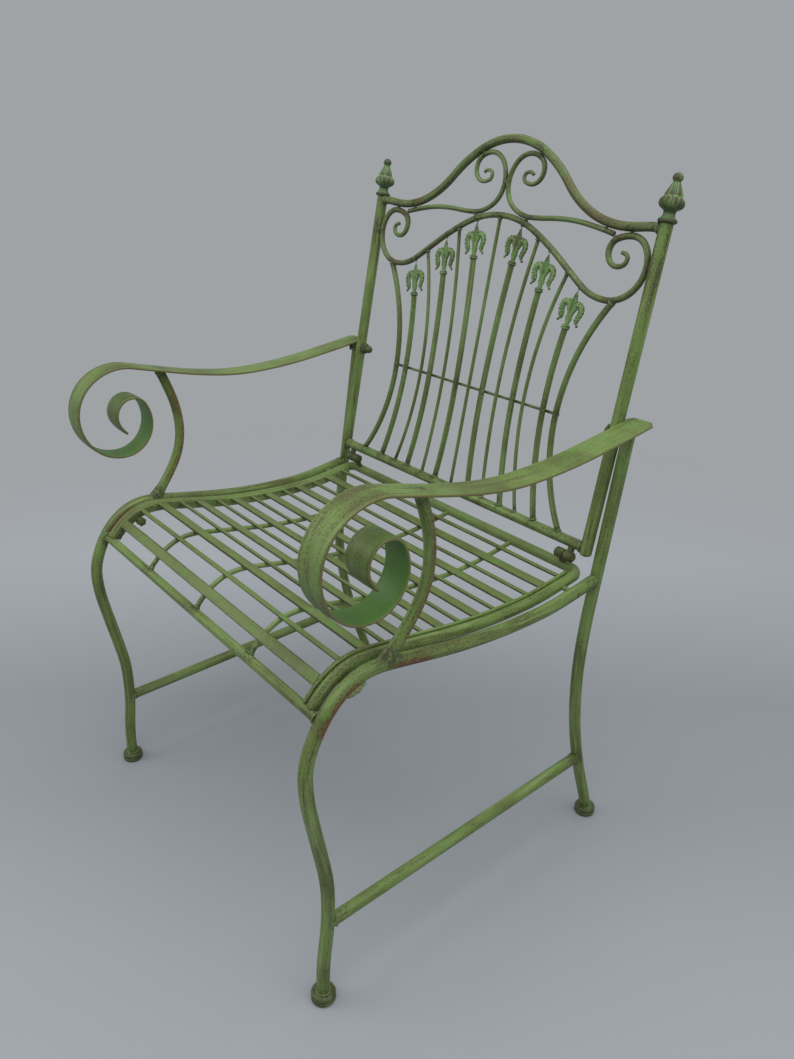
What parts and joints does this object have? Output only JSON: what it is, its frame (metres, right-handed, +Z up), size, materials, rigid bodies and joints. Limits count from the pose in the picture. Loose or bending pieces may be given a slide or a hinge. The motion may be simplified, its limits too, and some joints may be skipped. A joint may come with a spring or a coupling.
{
  "type": "garden armchair",
  "caption": "Wrought garden armchair with a slatted seat, scrolled strip arms and a hinged back of curved rods with cast flowers under an arched top rail",
  "frame": {"origin": "bottom centre of the whole chair, on the floor under the middle of the seat", "axes": "+X is to the right when looking at the chair's front, -Y is the front, where the sitter's knees are, and +Z is up"},
  "size_m": [0.6088, 0.555, 0.9437],
  "materials": {
    "frame": "worn green paint over steel tube, with rust at the welds",
    "arm": "worn green paint with pale rubbed edges",
    "slat": "worn green paint",
    "back_rod": "worn green paint, darker in the corners",
    "casting": "thick old green paint with dirt in the grooves",
    "foot": "worn green paint, brown with dirt",
    "hardware": "rusty, with traces of green paint"
  },
  "bodies": {
    "root": {"left_front_leg": "frame", "right_front_leg": "frame", "left_rear_leg": "frame", "right_rear_leg": "frame", "left_stretcher": "frame", "right_stretcher": "frame", "left_arm_post": "frame", "right_arm_post": "frame", "left_arm": "arm", "right_arm": "arm", "left_front_foot": "foot", "right_front_foot": "foot", "left_rear_foot": "foot", "right_rear_foot": "foot", "seat_hoop": "frame", "left_seat_strap": "frame", "right_seat_strap": "frame", "front_bar": "frame", "seat_supports": "frame", "wide_slat_1": "slat", "wide_slat_2": "slat", "wide_slat_3": "slat", "wide_slat_4": "slat", "wide_slat_5": "slat", "wide_slat_6": "slat", "wide_slat_7": "slat", "narrow_slats": "slat", "left_back_post": "frame", "right_back_post": "frame", "back_bottom_rail": "frame", "top_rail": "back_rod", "arch_rod": "back_rod", "left_upper_scroll": "back_rod", "right_upper_scroll": "back_rod", "left_side_bar": "back_rod", "right_side_bar": "back_rod", "crossbar": "back_rod", "spindle_1": "back_rod", "spindle_2": "back_rod", "spindle_3": "back_rod", "spindle_4": "back_rod", "spindle_5": "back_rod", "spindle_6": "back_rod", "thin_rods": "back_rod", "fleur_1": "casting", "fleur_2": "casting", "fleur_3": "casting", "fleur_4": "casting", "fleur_5": "casting", "fleur_6": "casting", "left_finial": "casting", "right_finial": "casting", "hinge_seat_knuckles": "hardware", "hinge_back_knuckles": "hardware", "hinge_pins": "hardware", "seat_bolts": "hardware", "seat_nuts": "hardware", "seat_spacers": "hardware", "arm_bolts": "hardware", "acorn_nuts": "casting"}
  },
  "joints": []
}
